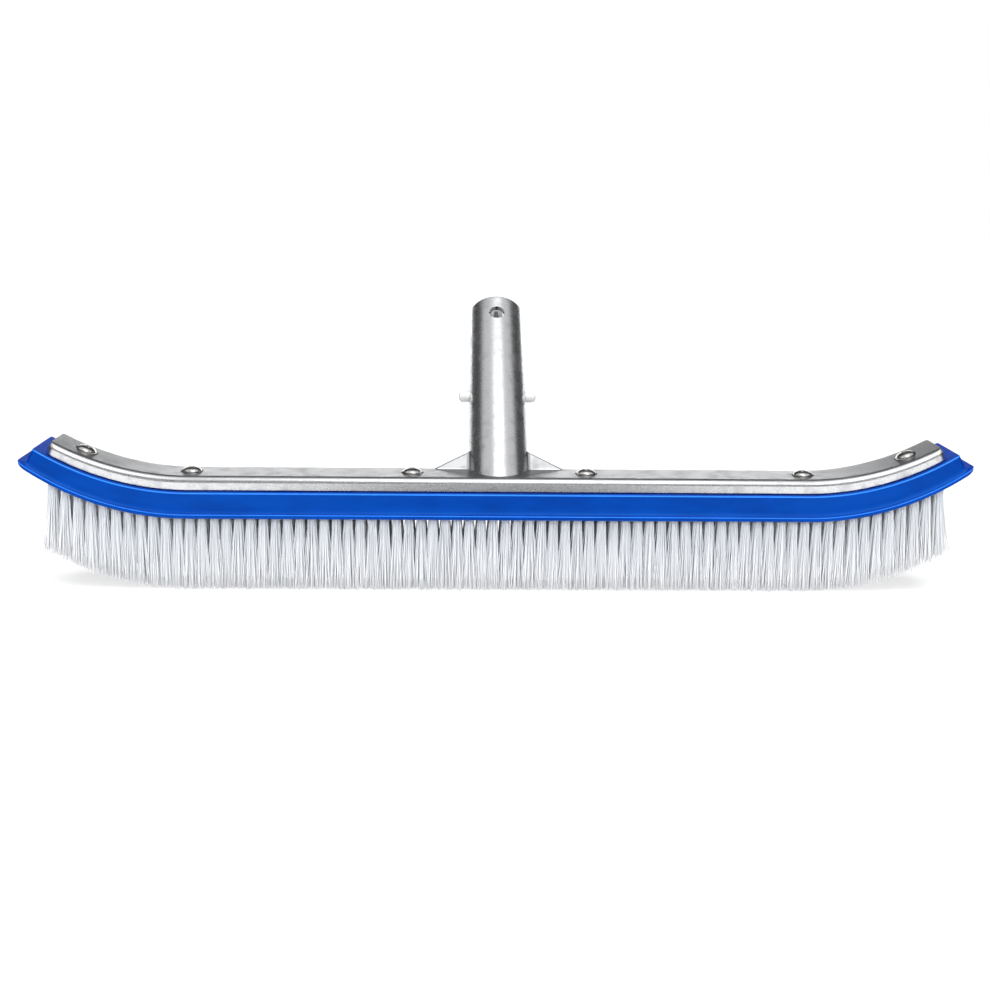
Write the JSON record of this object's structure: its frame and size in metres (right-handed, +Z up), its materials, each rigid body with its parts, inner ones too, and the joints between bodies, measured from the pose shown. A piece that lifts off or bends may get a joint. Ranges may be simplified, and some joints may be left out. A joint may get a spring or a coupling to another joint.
{
  "type": "pool wall brush",
  "caption": "Curved-end pool wall brush: leaning aluminium handle spigot with a spring-button clip, screwed to a moulded block of upright bristle tufts.",
  "frame": {"origin": "middle of the flat plane of the bristle tips, on the brush's mid-plane", "axes": "+X along the brush, +Z up from the tips to the handle, the handle spigot leans back towards +Y"},
  "size_m": [0.45, 0.1195, 0.132],
  "materials": {
    "cast_aluminium": "polished die casting",
    "blue_plastic": "moulded, satin gloss",
    "screw_steel": "bright plated",
    "clip_nylon": "moulded white nylon",
    "bristle_nylon": "extruded white filaments"
  },
  "bodies": {
    "brush": {"back_casting": "cast_aluminium", "brush_block": "blue_plastic", "clip_bend": "clip_nylon", "block_screw_1": "screw_steel", "block_screw_2": "screw_steel", "block_screw_3": "screw_steel", "block_screw_4": "screw_steel", "block_screw_5": "screw_steel", "block_screw_6": "screw_steel", "bristle_bank_01": "bristle_nylon", "bristle_bank_02": "bristle_nylon", "bristle_bank_03": "bristle_nylon", "bristle_bank_04": "bristle_nylon", "bristle_bank_05": "bristle_nylon", "bristle_bank_06": "bristle_nylon", "bristle_bank_07": "bristle_nylon", "bristle_bank_08": "bristle_nylon", "bristle_bank_09": "bristle_nylon", "bristle_bank_10": "bristle_nylon", "bristle_bank_11": "bristle_nylon", "bristle_bank_12": "bristle_nylon", "bristle_bank_13": "bristle_nylon", "bristle_bank_14": "bristle_nylon", "bristle_bank_15": "bristle_nylon", "bristle_bank_16": "bristle_nylon", "bristle_bank_17": "bristle_nylon", "bristle_bank_18": "bristle_nylon", "bristle_bank_19": "bristle_nylon", "bristle_bank_20": "bristle_nylon", "bristle_bank_21": "bristle_nylon", "bristle_bank_22": "bristle_nylon", "bristle_bank_23": "bristle_nylon", "bristle_bank_24": "bristle_nylon", "bristle_bank_25": "bristle_nylon", "bristle_bank_26": "bristle_nylon", "bristle_bank_27": "bristle_nylon", "bristle_bank_28": "bristle_nylon", "bristle_bank_29": "bristle_nylon", "bristle_bank_30": "bristle_nylon", "bristle_bank_31": "bristle_nylon", "bristle_bank_32": "bristle_nylon", "bristle_bank_33": "bristle_nylon", "bristle_bank_34": "bristle_nylon", "bristle_bank_35": "bristle_nylon", "bristle_bank_36": "bristle_nylon", "bristle_bank_37": "bristle_nylon"},
    "left_button": {"left_button_arm": "clip_nylon"},
    "right_button": {"right_button_arm": "clip_nylon"}
  },
  "joints": [
    {"name": "left_button_press", "type": "hinge", "parent": "brush", "child": "left_button", "pos_m": [-0.00205, 0.08791, 0.11889], "axis": [0, -0.6587, 0.7524], "range_deg": [0, 5.9], "stiffness_Nm_per_rad": 3, "springref_deg": -2.86},
    {"name": "right_button_press", "type": "hinge", "parent": "brush", "child": "right_button", "pos_m": [0.00205, 0.08791, 0.11889], "axis": [0, 0.6587, -0.7524], "range_deg": [0, 5.9], "stiffness_Nm_per_rad": 3, "springref_deg": -2.86}
  ]
}
